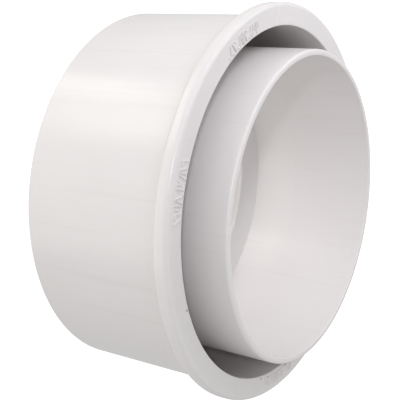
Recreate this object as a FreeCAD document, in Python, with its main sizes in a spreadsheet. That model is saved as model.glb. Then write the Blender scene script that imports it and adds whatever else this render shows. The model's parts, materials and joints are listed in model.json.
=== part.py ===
"""Reducing bush for drain pipe: a 160 mm spigot with a flared lip, carrying a 125 mm solvent-weld socket.

The fitting is one injection moulding. Its walls are modelled as four rings that meet face to face:
  spigot_wall   the plain outer tube that is glued into a 160 mm socket
  collar_lip    the flared lip round the outer tube's mouth
  socket_tube   the inner tube that takes the 125 mm pipe and stands out of the mouth
  stop_web      the annular floor that joins the two tubes, with the funnel shoulder that stops the pipe
The axis is +Z, the spigot's end face lies on z = 0 and the socket's mouth is at the top.
"""
import FreeCAD, Part
import Sketcher
import os
import re

doc = FreeCAD.newDocument("reducing_bush")

# ---------------------------------------------------------------- driving dimensions, in millimetres

sizes = doc.addObject("Spreadsheet::Sheet", "Sizes")
DIMENSIONS = [
    ("spigot_diameter", 160.0, "outside of the spigot, the larger pipe size"),
    ("spigot_thickness", 4.3, "wall of the outer tube"),
    ("spigot_length", 72.4, "from the spigot's end face to the front face of the lip"),
    ("spigot_lead", 1.2, "bevel that leads the spigot into its socket"),
    ("lip_overhang", 5.3, "how far the lip stands out past the spigot"),
    ("lip_thickness", 6.6, "lip, front to back"),
    ("lip_front_round", 1.9, "rounding of the lip's outer front edge"),
    ("lip_back_round", 2.2, "rounding of the lip's outer back edge"),
    ("lip_cove", 1.5, "hollow radius between the spigot and the back of the lip"),
    ("lip_root", 1.0, "plain stretch of wall under the cove, belonging to the lip"),
    ("edge_round", 0.5, "small break on every other moulded edge"),
    ("pipe_diameter", 125.0, "outside of the smaller pipe, which the socket takes"),
    ("pipe_clearance", 0.15, "gap for cement all round the pipe"),
    ("socket_thickness", 3.8, "wall of the inner tube"),
    ("socket_depth", 60.6, "from the socket's rim down to the pipe stop"),
    ("socket_projection", 13.8, "how far the rim stands above the front face of the lip"),
    ("rim_outer_round", 1.1, "rounding of the rim's outer edge"),
    ("mouth_flare", 1.2, "how much the socket widens at its rim, in radius"),
    ("flare_length", 44.0, "depth over which the socket widens; below it the bore is straight"),
    ("stop_width", 6.4, "how far the funnel shoulder reaches in past the pipe's outside"),
    ("stop_drop", 6.0, "how far the funnel shoulder falls on its way in"),
    ("stop_edge", 2.0, "thickness of the shoulder's free edge"),
    ("web_thickness", 4.2, "floor between the two tubes"),
    ("round_land", 0.1, "flat that is left where two roundings share one wall"),
]
for row, (name, value, meaning) in enumerate(DIMENSIONS, start=1):
    sizes.set(f"A{row}", name)
    sizes.set(f"B{row}", str(value))
    sizes.set(f"C{row}", meaning)
    sizes.setAlias(f"B{row}", name)
doc.recompute()


def formula(text):
    """The expression for a length, with every dimension's name read from the sheet."""
    for name, _value, _meaning in DIMENSIONS:
        text = re.sub(rf"\b{name}\b", "Sizes." + name, text)
    return text


def length(text):
    """The same length as a number, for finding the edges that a rounding goes on."""
    probe = doc.addObject("App::FeaturePython", "Probe")
    probe.addProperty("App::PropertyFloat", "Value")
    probe.setExpression("Value", formula(text))
    doc.recompute()
    value = probe.Value
    doc.removeObject(probe.Name)
    return value


# ---------------------------------------------------------------- lengths that several rings share

SPIGOT_OUTER = "spigot_diameter / 2"
SPIGOT_INNER = "spigot_diameter / 2 - spigot_thickness"
LIP_OUTER = "spigot_diameter / 2 + lip_overhang"
LIP_BACK = "spigot_length - lip_thickness"
LIP_BOTTOM = "spigot_length - lip_thickness - lip_cove - lip_root"
SOCKET_INNER = "pipe_diameter / 2 + pipe_clearance"
SOCKET_OUTER = "pipe_diameter / 2 + pipe_clearance + socket_thickness"
RIM = "spigot_length + socket_projection"
STOP = "spigot_length + socket_projection - socket_depth"


# ---------------------------------------------------------------- how each ring is drawn


def ring_body(name, corners):
    """A body turned about Z from a closed outline; corners are (radius, height) formulas in order."""
    body = doc.addObject("PartDesign::Body", name)
    body.Label = name
    doc.recompute()
    plane = [item for item in body.Origin.OriginFeatures if item.Role == "XZ_Plane"][0]
    sketch = body.newObject("Sketcher::SketchObject", name + "_outline")
    sketch.AttachmentSupport = [(plane, "")]
    sketch.MapMode = "FlatFace"
    points = [FreeCAD.Vector(length(radius), length(height), 0) for radius, height in corners]
    count = len(points)
    for index in range(count):
        sketch.addGeometry(Part.LineSegment(points[index], points[(index + 1) % count]), False)
    draw_constraints(sketch, corners, points)
    turned = body.newObject("PartDesign::Revolution", name + "_turned")
    turned.Profile = sketch
    turned.ReferenceAxis = (sketch, ["V_Axis"])
    turned.Angle = 360.0
    doc.recompute()
    return body


def draw_constraints(sketch, corners, points):
    """Join the outline's lines, keep level and upright ones so, and tie the corners to their formulas."""
    start_point = 1
    end_point = 2
    origin = (-1, 1)
    x_axis = -1
    count = len(points)
    level = []
    upright = []
    for index in range(count):
        following = (index + 1) % count
        sketch.addConstraint(Sketcher.Constraint("Coincident", index, end_point, following, start_point))
        level.append(abs(points[index].y - points[following].y) < 1e-6)
        upright.append(abs(points[index].x - points[following].x) < 1e-6)
    for index in range(count):
        if level[index]:
            sketch.addConstraint(Sketcher.Constraint("Horizontal", index))
        if upright[index]:
            sketch.addConstraint(Sketcher.Constraint("Vertical", index))
    for index, (radius, height) in enumerate(corners):
        before = index - 1
        if not upright[before]:
            place = Sketcher.Constraint("DistanceX", *origin, index, start_point, points[index].x)
            bind(sketch, place, f"radius_{index}", radius)
        if not level[before] and points[index].y > 1e-6:
            place = Sketcher.Constraint("DistanceY", *origin, index, start_point, points[index].y)
            bind(sketch, place, f"height_{index}", height)
        if not level[before] and points[index].y <= 1e-6:
            sketch.addConstraint(Sketcher.Constraint("PointOnObject", index, start_point, x_axis))


def bind(sketch, constraint, name, text):
    """Add one dimension to a sketch and drive it from the sheet."""
    number = sketch.addConstraint(constraint)
    sketch.renameConstraint(number, name)
    sketch.setExpression("Constraints." + name, formula(text))
    doc.recompute()


def circle_edge(feature, radius, height):
    """The name of the feature's circular edge of this radius at this height."""
    found = []
    for number, edge in enumerate(feature.Shape.Edges, start=1):
        curve = edge.Curve
        if not isinstance(curve, Part.Circle):
            continue
        if abs(curve.Radius - length(radius)) < 1e-4 and abs(curve.Center.z - length(height)) < 1e-4:
            found.append(f"Edge{number}")
    if len(found) != 1:
        raise RuntimeError(f"{feature.Name} has {len(found)} edges of radius {radius} at height {height}")
    return found[0]


def dress(body, kind, name, radius, height, size):
    """Round or bevel one circular edge of a body; size is a formula."""
    base = body.Tip
    feature = body.newObject(kind, name)
    feature.Base = (base, [circle_edge(base, radius, height)])
    property_name = "Radius" if kind == "PartDesign::Fillet" else "Size"
    feature.setExpression(property_name, formula(size))
    doc.recompute()
    return feature


FILLET = "PartDesign::Fillet"
CHAMFER = "PartDesign::Chamfer"

# ---------------------------------------------------------------- spigot wall: the plain outer tube

spigot_wall = ring_body(
    "spigot_wall",
    [(SPIGOT_INNER, "0"), (SPIGOT_OUTER, "0"), (SPIGOT_OUTER, LIP_BOTTOM), (SPIGOT_INNER, LIP_BOTTOM)],
)
dress(spigot_wall, CHAMFER, "spigot_lead_bevel", SPIGOT_OUTER, "0", "spigot_lead")
dress(spigot_wall, FILLET, "spigot_end_inner_round", SPIGOT_INNER, "0", "edge_round")

# ---------------------------------------------------------------- collar lip: the outer tube's flared mouth

collar_lip = ring_body(
    "collar_lip",
    [
        (SPIGOT_INNER, LIP_BOTTOM),
        (SPIGOT_OUTER, LIP_BOTTOM),
        (SPIGOT_OUTER, LIP_BACK),
        (LIP_OUTER, LIP_BACK),
        (LIP_OUTER, "spigot_length"),
        (SPIGOT_INNER, "spigot_length"),
    ],
)
dress(collar_lip, FILLET, "lip_cove_round", SPIGOT_OUTER, LIP_BACK,
      "min(lip_cove; lip_overhang - lip_back_round - round_land)")
dress(collar_lip, FILLET, "lip_front_edge_round", LIP_OUTER, "spigot_length",
      "min(lip_front_round; lip_thickness - lip_back_round - round_land)")
dress(collar_lip, FILLET, "lip_back_edge_round", LIP_OUTER, LIP_BACK, "lip_back_round")
dress(collar_lip, FILLET, "lip_mouth_round", SPIGOT_INNER, "spigot_length", "edge_round")

# ---------------------------------------------------------------- socket tube: takes the smaller pipe

MOUTH_INNER = "pipe_diameter / 2 + pipe_clearance + mouth_flare"
FLARE_START = "spigot_length + socket_projection - flare_length"
socket_tube = ring_body(
    "socket_tube",
    [
        (SOCKET_INNER, STOP),
        (SOCKET_OUTER, STOP),
        (SOCKET_OUTER, RIM),
        (MOUTH_INNER, RIM),
        (SOCKET_INNER, FLARE_START),
    ],
)
dress(socket_tube, FILLET, "rim_outer_edge_round", SOCKET_OUTER, RIM,
      "min(rim_outer_round; socket_thickness - mouth_flare - edge_round - round_land)")
dress(socket_tube, FILLET, "rim_inner_edge_round", MOUTH_INNER, RIM, "edge_round")

# ---------------------------------------------------------------- stop web: the floor and the pipe stop

PASSAGE = "pipe_diameter / 2 + pipe_clearance - stop_width"
SHOULDER_TOP = "spigot_length + socket_projection - socket_depth - stop_drop"
SHOULDER_BOTTOM = "spigot_length + socket_projection - socket_depth - stop_drop - stop_edge"
WEB_BOTTOM = "spigot_length + socket_projection - socket_depth - web_thickness"
stop_web = ring_body(
    "stop_web",
    [
        (PASSAGE, SHOULDER_BOTTOM),
        (SOCKET_OUTER, WEB_BOTTOM),
        (SPIGOT_INNER, WEB_BOTTOM),
        (SPIGOT_INNER, STOP),
        (SOCKET_INNER, STOP),
        (PASSAGE, SHOULDER_TOP),
    ],
)
dress(stop_web, FILLET, "shoulder_upper_round", PASSAGE, SHOULDER_TOP, "edge_round")
dress(stop_web, FILLET, "shoulder_lower_round", PASSAGE, SHOULDER_BOTTOM, "edge_round")

# ---------------------------------------------------------------- check every object, then write the rings

doc.recompute()
for item in doc.Objects:
    if "Invalid" in item.State or "Error" in item.State:
        raise RuntimeError(f"{item.Name} failed: {item.State}")

os.makedirs("parts", exist_ok=True)
for body in (spigot_wall, collar_lip, socket_tube, stop_web):
    shape = body.Shape
    if shape.isNull() or not shape.isValid() or len(shape.Solids) != 1:
        raise RuntimeError(f"{body.Label} isn't one valid solid")
    box = shape.optimalBoundingBox()
    print(f"{body.Label}: z {box.ZMin:.2f} to {box.ZMax:.2f}, radius {box.XMax:.2f}")
    print(f"{body.Label}: volume {shape.Volume:.0f} mm3")
    shape.exportStep(f"parts/{body.Label}.step")
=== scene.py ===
# A white reducing bush for drain pipe, standing on its spigot end. The moulding is drawn ring by ring, in
# metres, on the axis of the fitting.
import math

import bmesh
import bpy
from mathutils import Matrix, Vector
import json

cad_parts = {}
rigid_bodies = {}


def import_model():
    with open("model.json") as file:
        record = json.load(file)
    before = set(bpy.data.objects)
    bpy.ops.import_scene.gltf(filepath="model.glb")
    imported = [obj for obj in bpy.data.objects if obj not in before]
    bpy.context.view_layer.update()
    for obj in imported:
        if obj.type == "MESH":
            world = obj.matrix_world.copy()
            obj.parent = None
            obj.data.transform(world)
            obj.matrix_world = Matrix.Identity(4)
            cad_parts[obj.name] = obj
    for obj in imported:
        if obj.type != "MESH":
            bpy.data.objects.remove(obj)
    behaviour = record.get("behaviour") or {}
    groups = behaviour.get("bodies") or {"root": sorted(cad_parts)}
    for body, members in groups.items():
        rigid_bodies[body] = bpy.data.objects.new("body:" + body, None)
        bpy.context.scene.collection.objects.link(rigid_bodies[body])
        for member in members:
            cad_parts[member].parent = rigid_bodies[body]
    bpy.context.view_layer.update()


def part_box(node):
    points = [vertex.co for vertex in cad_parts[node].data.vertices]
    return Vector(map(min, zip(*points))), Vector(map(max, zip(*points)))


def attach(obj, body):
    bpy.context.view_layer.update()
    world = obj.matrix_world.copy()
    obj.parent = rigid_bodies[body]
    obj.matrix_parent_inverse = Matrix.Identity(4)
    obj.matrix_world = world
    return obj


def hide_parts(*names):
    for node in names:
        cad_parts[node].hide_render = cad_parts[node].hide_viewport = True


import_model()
MM = 0.001

# ------------------------------------------------------------------------------------ camera
# A short portrait lens close to the fitting, turned on its side, so that the axis lies across the view and
# the mouth opens to the right.

lip_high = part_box("collar_lip")[1]
spigot_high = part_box("spigot_wall")[1]
spigot_radius = spigot_high.x
spigot_thickness = 4.3 * MM
mouth_radius = spigot_radius - spigot_thickness
lip_face = lip_high.z

MOUTH_TURN = math.radians(57.36)  # how far the mouth is turned away from the lens
MOUTH_DIP = math.radians(7.08)  # how far the mouth drops in the view
LIP_RIGHT, LIP_UP, LIP_AWAY = 0.461, -0.0241, 4.9232  # the lip's centre from the lens, in mouth radii
SENSOR_WIDTH = 36.0
LENS_OVER_SENSOR = 2.16

camera_data = bpy.data.cameras.new("camera")
camera_data.sensor_width = SENSOR_WIDTH
camera_data.lens = SENSOR_WIDTH * LENS_OVER_SENSOR
camera_data.clip_start = 0.01
camera = bpy.data.objects.new("camera", camera_data)
bpy.context.collection.objects.link(camera)
bpy.context.scene.camera = camera

height_angle = math.asin(math.cos(MOUTH_TURN) * math.cos(MOUTH_DIP))
roll = math.atan2(math.sin(MOUTH_TURN) * math.cos(MOUTH_DIP), -math.sin(MOUTH_DIP))
facing = Matrix.Rotation(math.pi / 2 - height_angle, 3, "X") @ Matrix.Rotation(roll, 3, "Z")
lip_seen = Vector((LIP_RIGHT, LIP_UP, -LIP_AWAY)) * mouth_radius
camera.matrix_world = (
    Matrix.Translation(Vector((0, 0, lip_face)) - facing @ lip_seen) @ facing.to_4x4()
)

# ------------------------------------------------------------------------------------ studio
# A white light table: a pale floor that only the lens sees and an even white tent, with soft boxes to the
# left, above and in front, a small lamp just over the lens and two more close to the mouth.


def studio_floor():
    half = 12.0  # metres, so that its far edge stays out of sight
    mesh = bpy.data.meshes.new("floor")
    corners = [(-half, -half, 0), (half, -half, 0), (half, half, 0), (-half, half, 0)]
    mesh.from_pydata(corners, [], [(0, 1, 2, 3)])
    floor = bpy.data.objects.new("floor", mesh)
    bpy.context.collection.objects.link(floor)
    material = bpy.data.materials.new("floor_paper")
    material.use_nodes = True
    paper = material.node_tree.nodes["Principled BSDF"]
    paper.inputs["Base Color"].default_value = (0.85, 0.85, 0.85, 1)
    paper.inputs["Roughness"].default_value = 0.9
    paper.inputs["Emission Color"].default_value = (1, 1, 1, 1)
    paper.inputs["Emission Strength"].default_value = 0.6
    mesh.materials.append(material)
    floor.visible_diffuse = False
    floor.visible_glossy = False
    floor.visible_shadow = False
    return floor


studio_floor()


def soft_box(name, toward, distance, side, watts, colour):
    """An area light facing the middle of the fitting; toward is right, up and back to the lens, as seen."""
    data = bpy.data.lights.new(name, "AREA")
    data.shape = "SQUARE"
    data.size = side
    data.energy = watts
    data.color = colour
    light = bpy.data.objects.new(name, data)
    bpy.context.collection.objects.link(light)
    middle = Vector((0, 0, lip_face / 2))
    direction = (facing @ Vector(toward)).normalized()
    light.location = middle + direction * distance
    light.rotation_euler = direction.to_track_quat("Z", "Y").to_euler()
    light.visible_camera = False


WARM = (1.0, 0.985, 0.925)
COOL = (0.985, 0.985, 1.05)
TENT_STRENGTH = 0.626
# Name, direction, distance and side in metres, watts and colour of each lamp.
LIGHTS = [
    ("key", (-0.66, 0.76, 0.05), 1.1, 0.24, 0.66, WARM),
    ("left_glow", (-0.77, 0.575, 0.29), 1.1, 0.34, 1.1, WARM),
    ("lens_lamp", (-0.04, 0.16, 1.0), 1.2, 0.06, 1.84, COOL),
    ("front", (0.35, 0.45, 0.85), 1.2, 0.7, 2.15, COOL),
    ("left_wall", (-1.0, 0.0, 0.05), 1.5, 1.5, 5.6, WARM),
    ("upper_wall", (-0.25, 0.95, 0.15), 1.5, 1.5, 1.5, WARM),
    ("mouth_lamp_front", (0.5, 0.85, 0.6), 0.28, 0.15, 0.12, COOL),
    ("mouth_lamp_side", (0.85, 0.6, 0.1), 0.28, 0.12, 0.07, COOL),
]
for name, toward, distance, side, watts, colour in LIGHTS:
    soft_box(name, toward, distance, side, watts, colour)

world = bpy.data.worlds.new("tent")
world.use_nodes = True
tent = world.node_tree.nodes["Background"]
tent.inputs["Color"].default_value = (1, 1, 1, 1)
tent.inputs["Strength"].default_value = TENT_STRENGTH
bpy.context.scene.world = world
bpy.context.scene.view_settings.view_transform = "Standard"

# ------------------------------------------------------------------------------------ spigot wall
# The plain outer tube, moulded in white PVC in one shot with the rest of the fitting. It is turned from an
# outline by a node tree that the other rings share: the outline's points carry their rounding.

tube_low, tube_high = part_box("socket_tube")
web_low, web_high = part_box("stop_web")
tube_radius = tube_high.x
bore_radius = tube_radius - 3.8 * MM
web_top = web_high.z

PVC_SHADE = (0.730, 0.703, 0.695, 1)
PVC_PALE = (0.760, 0.735, 0.728, 1)
DRAG_GREY = (0.708, 0.677, 0.667, 1)
SCUFF_GREY = (0.665, 0.635, 0.62, 1)
RUBBED_PALE = (0.785, 0.755, 0.74, 1)
# Painted shade: the grey that darkens the hollow between the tubes and the shoulder inside.
HOLLOW_SHADE_GREY = (0.52, 0.49, 0.47, 1)
BURNT_GRAIN = (0.30, 0.26, 0.22, 1)

# Two burnt grains of resin that show on the face of the lip.
grain_radius = mouth_radius + 1.2 * MM
BURNT_GRAINS = [
    (grain_radius * math.cos(math.radians(angle)), grain_radius * math.sin(math.radians(angle)), lip_face)
    for angle in (4.1, -54.6)
]


def moulded_pvc():
    """Warm white PVC with a soft gloss: flow clouds, drag lines, scuffs, specks, rubbed edges, and shade
    painted into the hollows.
    """
    material = bpy.data.materials.new("moulded_pvc")
    material.use_nodes = True
    tree = material.node_tree
    new = tree.nodes.new
    link = tree.links.new
    shader = tree.nodes["Principled BSDF"]
    shader.inputs["IOR"].default_value = 1.53
    place = new("ShaderNodeTexCoord")

    def noise(scale, detail, stretch=(1, 1, 1), turn=(0, 0, 0)):
        mapping = new("ShaderNodeMapping")
        mapping.inputs["Scale"].default_value = stretch
        mapping.inputs["Rotation"].default_value = turn
        cloud = new("ShaderNodeTexNoise")
        cloud.inputs["Scale"].default_value = scale
        cloud.inputs["Detail"].default_value = detail
        link(place.outputs["Object"], mapping.inputs["Vector"])
        link(mapping.outputs["Vector"], cloud.inputs["Vector"])
        return cloud.outputs["Fac"]

    def ranged(value, low, high, to_low, to_high):
        step = new("ShaderNodeMapRange")
        step.inputs["From Min"].default_value = low
        step.inputs["From Max"].default_value = high
        step.inputs["To Min"].default_value = to_low
        step.inputs["To Max"].default_value = to_high
        link(value, step.inputs["Value"])
        return step.outputs["Result"]

    def combined(operation, first, second):
        sum_of_both = new("ShaderNodeMath")
        sum_of_both.operation = operation
        link(first, sum_of_both.inputs[0])
        if isinstance(second, (int, float)):
            sum_of_both.inputs[1].default_value = second
        else:
            link(second, sum_of_both.inputs[1])
        return sum_of_both.outputs["Value"]

    def tinted(factor, first, second):
        mix = new("ShaderNodeMix")
        mix.data_type = "RGBA"
        link(factor, mix.inputs["Factor"])
        for value, socket in ((first, mix.inputs["A"]), (second, mix.inputs["B"])):
            if isinstance(value, tuple):
                socket.default_value = value
            else:
                link(value, socket)
        return mix.outputs["Result"]

    # Scales are per metre, so 20 gives clouds about 50 mm across and 1700 a grain under 1 mm.
    clouds = ranged(noise(20.0, 2.0), 0.2, 0.8, 0.0, 1.0)
    drag = ranged(noise(420.0, 2.0, (1, 1, 0.025)), 0.56, 0.78, 0.0, 1.0)
    scuff_one = ranged(noise(900.0, 2.0, (0.06, 1, 1), (0.3, 0.5, 0.9)), 0.73, 0.80, 0.0, 1.0)
    scuff_two = ranged(noise(1100.0, 2.0, (1, 0.05, 1), (0.8, -0.4, 0.35)), 0.74, 0.81, 0.0, 1.0)
    scuffs = combined("MAXIMUM", scuff_one, scuff_two)
    grain = noise(1700.0, 2.0)

    cells = new("ShaderNodeTexVoronoi")
    cells.inputs["Scale"].default_value = 48.0
    link(place.outputs["Object"], cells.inputs["Vector"])
    specks = ranged(cells.outputs["Distance"], 0.009, 0.015, 1.0, 0.0)
    for burnt_grain in BURNT_GRAINS:
        reach = new("ShaderNodeVectorMath")
        reach.operation = "DISTANCE"
        reach.inputs[1].default_value = burnt_grain
        link(place.outputs["Object"], reach.inputs[0])
        spot = ranged(reach.outputs["Value"], 0.35 * MM, 0.6 * MM, 1.0, 0.0)
        specks = combined("MAXIMUM", specks, spot)

    apart = new("ShaderNodeSeparateXYZ")
    link(place.outputs["Object"], apart.inputs["Vector"])
    height = apart.outputs["Z"]
    level = new("ShaderNodeVectorMath")
    level.operation = "MULTIPLY"
    level.inputs[1].default_value = (1, 1, 0)
    link(place.outputs["Object"], level.inputs[0])
    span = new("ShaderNodeVectorMath")
    span.operation = "LENGTH"
    link(level.outputs["Vector"], span.inputs[0])
    radius = span.outputs["Value"]

    # Painted shade: the colour is darkened between the tubes, more lower down, and a little on the shoulder
    # inside.
    past_tube = ranged(radius, tube_radius - 0.55 * MM, tube_radius - 0.15 * MM, 0.0, 1.0)
    short_of_wall = ranged(radius, mouth_radius + 0.1 * MM, mouth_radius + 0.4 * MM, 1.0, 0.0)
    between = combined("MULTIPLY", past_tube, short_of_wall)
    below_mouth = ranged(height, lip_face - 4.4 * MM, lip_face - 32.4 * MM, 0.0, 1.0)
    above_floor = ranged(height, web_top - 2.1 * MM, web_top - 0.6 * MM, 0.0, 1.0)
    in_hollow = combined("MULTIPLY", between, combined("MULTIPLY", below_mouth, above_floor))
    inside_bore = ranged(radius, bore_radius - 0.45 * MM, bore_radius - 0.05 * MM, 0.2, 0.0)
    above_passage = ranged(height, web_low.z, web_low.z + 1.2 * MM, 0.0, 1.0)
    on_shoulder = combined("MULTIPLY", inside_bore, above_passage)
    painted_shade = combined("ADD", in_hollow, on_shoulder)

    edge = new("ShaderNodeAttribute")
    edge.attribute_name = "edge"
    rubbed = edge.outputs["Fac"]

    body = tinted(clouds, PVC_SHADE, PVC_PALE)
    streaked = tinted(combined("MULTIPLY", drag, 0.55), body, DRAG_GREY)
    scuffed = tinted(combined("MULTIPLY", scuffs, 0.13), streaked, SCUFF_GREY)
    worn = tinted(combined("MULTIPLY", rubbed, 0.2), scuffed, RUBBED_PALE)
    # Painted shade: the colour is darkened between the tubes and on the shoulder, where shade falls.
    shade_painted = tinted(combined("MULTIPLY", painted_shade, 0.6), worn, HOLLOW_SHADE_GREY)
    link(tinted(specks, shade_painted, BURNT_GRAIN), shader.inputs["Base Color"])

    gloss = ranged(noise(55.0, 2.0), 0.2, 0.8, 0.235, 0.27)
    link(combined("ADD", gloss, combined("MULTIPLY", scuffs, 0.1)), shader.inputs["Roughness"])

    relief = combined("SUBTRACT", combined("MULTIPLY", grain, 0.35), combined("MULTIPLY", scuffs, 0.4))
    ridged = combined("ADD", relief, combined("MULTIPLY", drag, 0.5))
    bump = new("ShaderNodeBump")
    bump.inputs["Strength"].default_value = 0.35
    bump.inputs["Distance"].default_value = 0.05 * MM
    link(ridged, bump.inputs["Height"])
    link(bump.outputs["Normal"], shader.inputs["Normal"])
    return material


pvc = moulded_pvc()


def turning_tree():
    """Geometry Nodes: round an outline's corners, then sweep it round the Z axis."""
    tree = bpy.data.node_groups.new("turned_ring", "GeometryNodeTree")
    face = tree.interface
    face.new_socket("Geometry", in_out="INPUT", socket_type="NodeSocketGeometry")
    face.new_socket("Round Steps", in_out="INPUT", socket_type="NodeSocketInt")
    face.new_socket("Turn Steps", in_out="INPUT", socket_type="NodeSocketInt")
    face.new_socket("Material", in_out="INPUT", socket_type="NodeSocketMaterial")
    face.new_socket("Geometry", in_out="OUTPUT", socket_type="NodeSocketGeometry")
    new = tree.nodes.new
    link = tree.links.new
    given = new("NodeGroupInput")
    made = new("NodeGroupOutput")

    outline = new("GeometryNodeMeshToCurve")
    link(given.outputs["Geometry"], outline.inputs["Mesh"])
    rounding = new("GeometryNodeInputNamedAttribute")
    rounding.data_type = "FLOAT"
    rounding.inputs["Name"].default_value = "rounding"
    rounded = new("GeometryNodeFilletCurve")
    rounded.mode = "POLY"
    link(outline.outputs["Curve"], rounded.inputs["Curve"])
    link(rounding.outputs["Attribute"], rounded.inputs["Radius"])
    link(given.outputs["Round Steps"], rounded.inputs["Count"])

    place = new("GeometryNodeInputPosition")
    keep_outline = new("GeometryNodeCaptureAttribute")
    keep_outline.capture_items.new("VECTOR", "Outline Place")
    link(rounded.outputs["Curve"], keep_outline.inputs["Geometry"])
    link(place.outputs["Position"], keep_outline.inputs["Outline Place"])

    circle = new("GeometryNodeCurvePrimitiveCircle")
    circle.inputs["Radius"].default_value = 1.0
    link(given.outputs["Turn Steps"], circle.inputs["Resolution"])
    keep_turn = new("GeometryNodeCaptureAttribute")
    keep_turn.capture_items.new("VECTOR", "Direction")
    link(circle.outputs["Curve"], keep_turn.inputs["Geometry"])
    link(place.outputs["Position"], keep_turn.inputs["Direction"])

    swept = new("GeometryNodeCurveToMesh")
    link(keep_turn.outputs["Geometry"], swept.inputs["Curve"])
    link(keep_outline.outputs["Geometry"], swept.inputs["Profile Curve"])

    apart = new("ShaderNodeSeparateXYZ")
    link(keep_outline.outputs["Outline Place"], apart.inputs["Vector"])
    across = new("ShaderNodeVectorMath")
    across.operation = "SCALE"
    link(keep_turn.outputs["Direction"], across.inputs[0])
    link(apart.outputs["X"], across.inputs["Scale"])
    up = new("ShaderNodeCombineXYZ")
    link(apart.outputs["Z"], up.inputs["Z"])
    both = new("ShaderNodeVectorMath")
    both.operation = "ADD"
    link(across.outputs["Vector"], both.inputs[0])
    link(up.outputs["Vector"], both.inputs[1])
    placed = new("GeometryNodeSetPosition")
    link(swept.outputs["Mesh"], placed.inputs["Geometry"])
    link(both.outputs["Vector"], placed.inputs["Position"])

    real = new("GeometryNodeRealizeInstances")
    link(placed.outputs["Geometry"], real.inputs["Geometry"])
    painted = new("GeometryNodeSetMaterial")
    link(real.outputs["Geometry"], painted.inputs["Geometry"])
    link(given.outputs["Material"], painted.inputs["Material"])
    link(painted.outputs["Geometry"], made.inputs["Geometry"])
    return tree


turning = turning_tree()


def plain_copy(source, name):
    """The evaluated result of an object with a node tree, as a plain mesh object of its own."""
    bpy.context.view_layer.update()
    evaluated = source.evaluated_get(bpy.context.evaluated_depsgraph_get())
    mesh = bpy.data.meshes.new_from_object(evaluated)
    mesh.name = name
    piece = bpy.data.objects.new(name, mesh)
    bpy.context.collection.objects.link(piece)
    bpy.data.objects.remove(source)
    return piece


def set_input(modifier, name, value):
    for item in modifier.node_group.interface.items_tree:
        if item.item_type == "SOCKET" and item.in_out == "INPUT" and item.name == name:
            modifier[item.identifier] = value


HOLD = 0.25 * MM  # a point this far past each rounding keeps the long faces' shading true


def held_outline(outline):
    """The outline with a holding point each side of every corner: (radius, height, rounding, edge)."""
    points = []
    for index, (radius, height, rounding) in enumerate(outline):
        here = Vector((radius, height))
        before = Vector(outline[index - 1][:2]) - here
        after = Vector(outline[(index + 1) % len(outline)][:2]) - here
        turn = math.pi - before.angle(after)
        set_back = rounding * math.tan(turn / 2) + HOLD
        convex = before.x * after.y - before.y * after.x < 0
        if before.length > 4 * set_back:
            points.append((*(here + before.normalized() * set_back), 0.0, 0.0))
        points.append((radius, height, rounding, 1.0 if convex and rounding else 0.0))
        if after.length > 4 * set_back:
            points.append((*(here + after.normalized() * set_back), 0.0, 0.0))
    return points


ROUND_STEPS = 7
TURN_STEPS = 256


def turned_ring(name, outline):
    """A ring from corners of (radius, height, rounding), listed anticlockwise round its section."""
    points = held_outline(outline)
    mesh = bpy.data.meshes.new(name + "_outline")
    count = len(points)
    edges = [(index, (index + 1) % count) for index in range(count)]
    mesh.from_pydata([(point[0], 0, point[1]) for point in points], edges, [])
    rounding = mesh.attributes.new("rounding", "FLOAT", "POINT")
    edge = mesh.attributes.new("edge", "FLOAT", "POINT")
    for index, point in enumerate(points):
        rounding.data[index].value = point[2]
        edge.data[index].value = point[3]
    source = bpy.data.objects.new(name + "_outline", mesh)
    bpy.context.collection.objects.link(source)
    modifier = source.modifiers.new("turning", "NODES")
    modifier.node_group = turning
    set_input(modifier, "Round Steps", ROUND_STEPS)
    set_input(modifier, "Turn Steps", TURN_STEPS)
    set_input(modifier, "Material", pvc)
    piece = plain_copy(source, name)
    shell = bmesh.new()
    shell.from_mesh(piece.data)
    bmesh.ops.remove_doubles(shell, verts=shell.verts, dist=0.0001 * MM)
    bmesh.ops.recalc_face_normals(shell, faces=shell.faces)
    shell.to_mesh(piece.data)
    shell.free()
    piece.data.shade_smooth()
    piece.data.set_sharp_from_angle(angle=math.radians(40))
    return piece


edge_round = 0.5 * MM
lead = 1.2 * MM
seam = spigot_high.z
wall_piece = turned_ring(
    "spigot_wall_moulding",
    [
        (mouth_radius, 0, edge_round),
        (spigot_radius - lead, 0, 0.3 * MM),
        (spigot_radius, lead, 0.6 * MM),
        (spigot_radius, seam, 0),
        (mouth_radius, seam, 0),
    ],
)
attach(wall_piece, "root")
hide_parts("spigot_wall")

# ------------------------------------------------------------------------------------ collar lip
# The flared, rolled lip round the mouth of the outer tube. It stops the spigot at the larger socket.

lip_radius = lip_high.x
lip_back = lip_face - 6.6 * MM
lip_piece = turned_ring(
    "collar_lip_moulding",
    [
        (mouth_radius, seam, 0),
        (spigot_radius, seam, 0),
        (spigot_radius, lip_back, 1.5 * MM),
        (lip_radius, lip_back, 2.2 * MM),
        (lip_radius, lip_face, 1.9 * MM),
        (mouth_radius, lip_face, edge_round),
    ],
)
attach(lip_piece, "root")
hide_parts("collar_lip")

# ------------------------------------------------------------------------------------ lip marks
# Three rows of small raised strokes on the lip's face, where the real moulding carries its marks. They are
# cut into the mould, so they are part of the lip; here they spell nothing.


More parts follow.
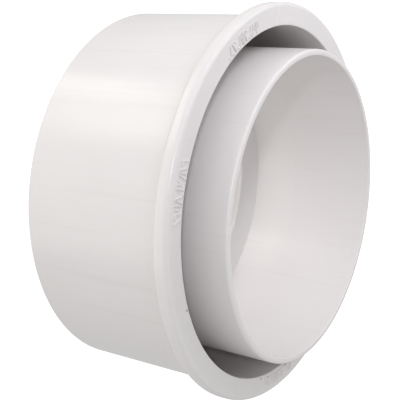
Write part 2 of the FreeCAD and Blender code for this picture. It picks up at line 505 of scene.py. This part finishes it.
def stroke_mesh(name, width, length, low, lean):
    """One raised stroke with sloping sides, standing on the face; low shifts it along its own length."""
    relief = 0.5 * MM
    bury = 0.1 * MM
    draft = 0.15 * MM
    mesh = bpy.data.meshes.new(name)
    corners = []
    for height, inset in ((-bury, 0.0), (relief, draft)):
        for side, end in ((-1, -1), (1, -1), (1, 1), (-1, 1)):
            along = end * (length / 2 - inset)
            corners.append((side * (width / 2 - inset) + lean * along, along + low, height))
    sides = [(0, 1, 5, 4), (1, 2, 6, 5), (2, 3, 7, 6), (3, 0, 4, 7)]
    mesh.from_pydata(corners, [], [(3, 2, 1, 0), (4, 5, 6, 7)] + sides)
    stroke = bpy.data.objects.new(name, mesh)
    strokes.objects.link(stroke)


strokes = bpy.data.collections.new("strokes")
STROKE_KINDS = [
    ("upright", 0.8, 4.8, 0.0, 0.0),
    ("leaning", 0.8, 4.5, 0.0, 0.3),
    ("falling", 0.8, 4.5, 0.0, -0.35),
    ("upper_dash", 1.4, 0.9, 1.7, 0.0),
    ("lower_dash", 1.4, 0.9, -1.7, 0.0),
    ("short_upright", 0.8, 2.8, -0.9, 0.0),
]
for name, width, length, low, lean in STROKE_KINDS:
    stroke_mesh(name, width * MM, length * MM, low * MM, lean)


def marking_tree():
    """Geometry Nodes: set strokes at even steps along arcs, each across its arc, picked at random."""
    tree = bpy.data.node_groups.new("marked_arcs", "GeometryNodeTree")
    face = tree.interface
    face.new_socket("Geometry", in_out="INPUT", socket_type="NodeSocketGeometry")
    face.new_socket("Strokes", in_out="INPUT", socket_type="NodeSocketCollection")
    face.new_socket("Step", in_out="INPUT", socket_type="NodeSocketFloat")
    face.new_socket("Seed", in_out="INPUT", socket_type="NodeSocketInt")
    face.new_socket("Material", in_out="INPUT", socket_type="NodeSocketMaterial")
    face.new_socket("Geometry", in_out="OUTPUT", socket_type="NodeSocketGeometry")
    new = tree.nodes.new
    link = tree.links.new
    given = new("NodeGroupInput")
    made = new("NodeGroupOutput")
    arcs = new("GeometryNodeMeshToCurve")
    link(given.outputs["Geometry"], arcs.inputs["Mesh"])
    stepped = new("GeometryNodeResampleCurve")
    stepped.mode = "LENGTH"
    link(arcs.outputs["Curve"], stepped.inputs["Curve"])
    link(given.outputs["Step"], stepped.inputs["Length"])
    tangent = new("GeometryNodeInputTangent")
    across = new("FunctionNodeAlignRotationToVector")
    across.axis = "X"
    across.pivot_axis = "Z"
    link(tangent.outputs["Tangent"], across.inputs["Vector"])
    kinds = new("GeometryNodeCollectionInfo")
    kinds.inputs["Separate Children"].default_value = True
    kinds.inputs["Reset Children"].default_value = True
    link(given.outputs["Strokes"], kinds.inputs["Collection"])
    pick = new("FunctionNodeRandomValue")
    pick.data_type = "INT"
    pick.inputs[4].default_value = 0
    pick.inputs[5].default_value = len(STROKE_KINDS) - 1
    link(given.outputs["Seed"], pick.inputs["Seed"])
    placed = new("GeometryNodeInstanceOnPoints")
    placed.inputs["Pick Instance"].default_value = True
    link(stepped.outputs["Curve"], placed.inputs["Points"])
    link(kinds.outputs["Instances"], placed.inputs["Instance"])
    link(pick.outputs[2], placed.inputs["Instance Index"])
    link(across.outputs["Rotation"], placed.inputs["Rotation"])
    real = new("GeometryNodeRealizeInstances")
    link(placed.outputs["Instances"], real.inputs["Geometry"])
    painted = new("GeometryNodeSetMaterial")
    link(real.outputs["Geometry"], painted.inputs["Geometry"])
    link(given.outputs["Material"], painted.inputs["Material"])
    link(painted.outputs["Geometry"], made.inputs["Geometry"])
    return tree


mark_radius = mouth_radius + 3.4 * MM
MARK_ROWS = [(-148.0, -131.0), (-97.0, -81.0), (7.0, 24.0)]  # first and last angle of each row, degrees
ROW_STEPS = 24
arc_points = []
arc_edges = []
for first, last in MARK_ROWS:
    for step in range(ROW_STEPS + 1):
        angle = math.radians(first + (last - first) * step / ROW_STEPS)
        if step:
            arc_edges.append((len(arc_points) - 1, len(arc_points)))
        arc_points.append((mark_radius * math.cos(angle), mark_radius * math.sin(angle), lip_face))
arc_mesh = bpy.data.meshes.new("mark_rows")
arc_mesh.from_pydata(arc_points, arc_edges, [])
arc_object = bpy.data.objects.new("mark_rows", arc_mesh)
bpy.context.collection.objects.link(arc_object)
marking = arc_object.modifiers.new("marking", "NODES")
marking.node_group = marking_tree()
set_input(marking, "Strokes", strokes)
set_input(marking, "Step", 1.45 * MM)
set_input(marking, "Seed", 5)
set_input(marking, "Material", pvc)
marks_piece = plain_copy(arc_object, "lip_marks")
for stroke in list(strokes.objects):
    bpy.data.objects.remove(stroke)
bpy.data.collections.remove(strokes)
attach(marks_piece, "root")

# ------------------------------------------------------------------------------------ socket tube
# The inner tube that takes the smaller pipe. Its rim stands out past the lip, and the bore widens slightly
# towards it, so that the pipe enters freely and grips at the bottom.

rim = tube_high.z
tube_piece = turned_ring(
    "socket_tube_moulding",
    [
        (bore_radius, tube_low.z, 0),
        (tube_radius, tube_low.z, 0),
        (tube_radius, rim, 1.1 * MM),
        (bore_radius + 1.2 * MM, rim, edge_round),
        (bore_radius, rim - 44.0 * MM, 300.0 * MM),
    ],
)
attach(tube_piece, "root")
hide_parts("socket_tube")

# ------------------------------------------------------------------------------------ stop web
# The floor between the two tubes. It runs on inward as a funnel shoulder that stops the smaller pipe, and
# small hollow radii join it to both tubes, as in any moulding.

web_bottom = web_top - 4.2 * MM
passage_radius = bore_radius - 6.4 * MM
shoulder_top = web_top - 6.0 * MM
shoulder_bottom = shoulder_top - 2.0 * MM
buried = 0.02 * MM  # the floor's ends run this far into both tubes, so that no slit shows
deep = 0.6 * MM
gap_cove = 2.0 * MM
cove_reach = gap_cove + 0.5 * MM
web_piece = turned_ring(
    "stop_web_moulding",
    [
        (passage_radius, shoulder_bottom, edge_round),
        (tube_radius, web_bottom, 4.0 * MM),
        (mouth_radius + buried, web_bottom, gap_cove),
        (mouth_radius + buried, web_bottom - cove_reach, 0),
        (mouth_radius + deep, web_bottom - cove_reach, 0),
        (mouth_radius + deep, web_top + cove_reach, 0),
        (mouth_radius + buried, web_top + cove_reach, 0),
        (mouth_radius + buried, web_top, gap_cove),
        (tube_radius - buried, web_top, gap_cove),
        (tube_radius - buried, web_top + cove_reach, 0),
        (tube_radius - deep, web_top + cove_reach, 0),
        (tube_radius - deep, web_top - buried, 0),
        (bore_radius, web_top - buried, 0),
        (passage_radius, shoulder_top, edge_round),
    ],
)
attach(web_piece, "root")
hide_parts("stop_web")
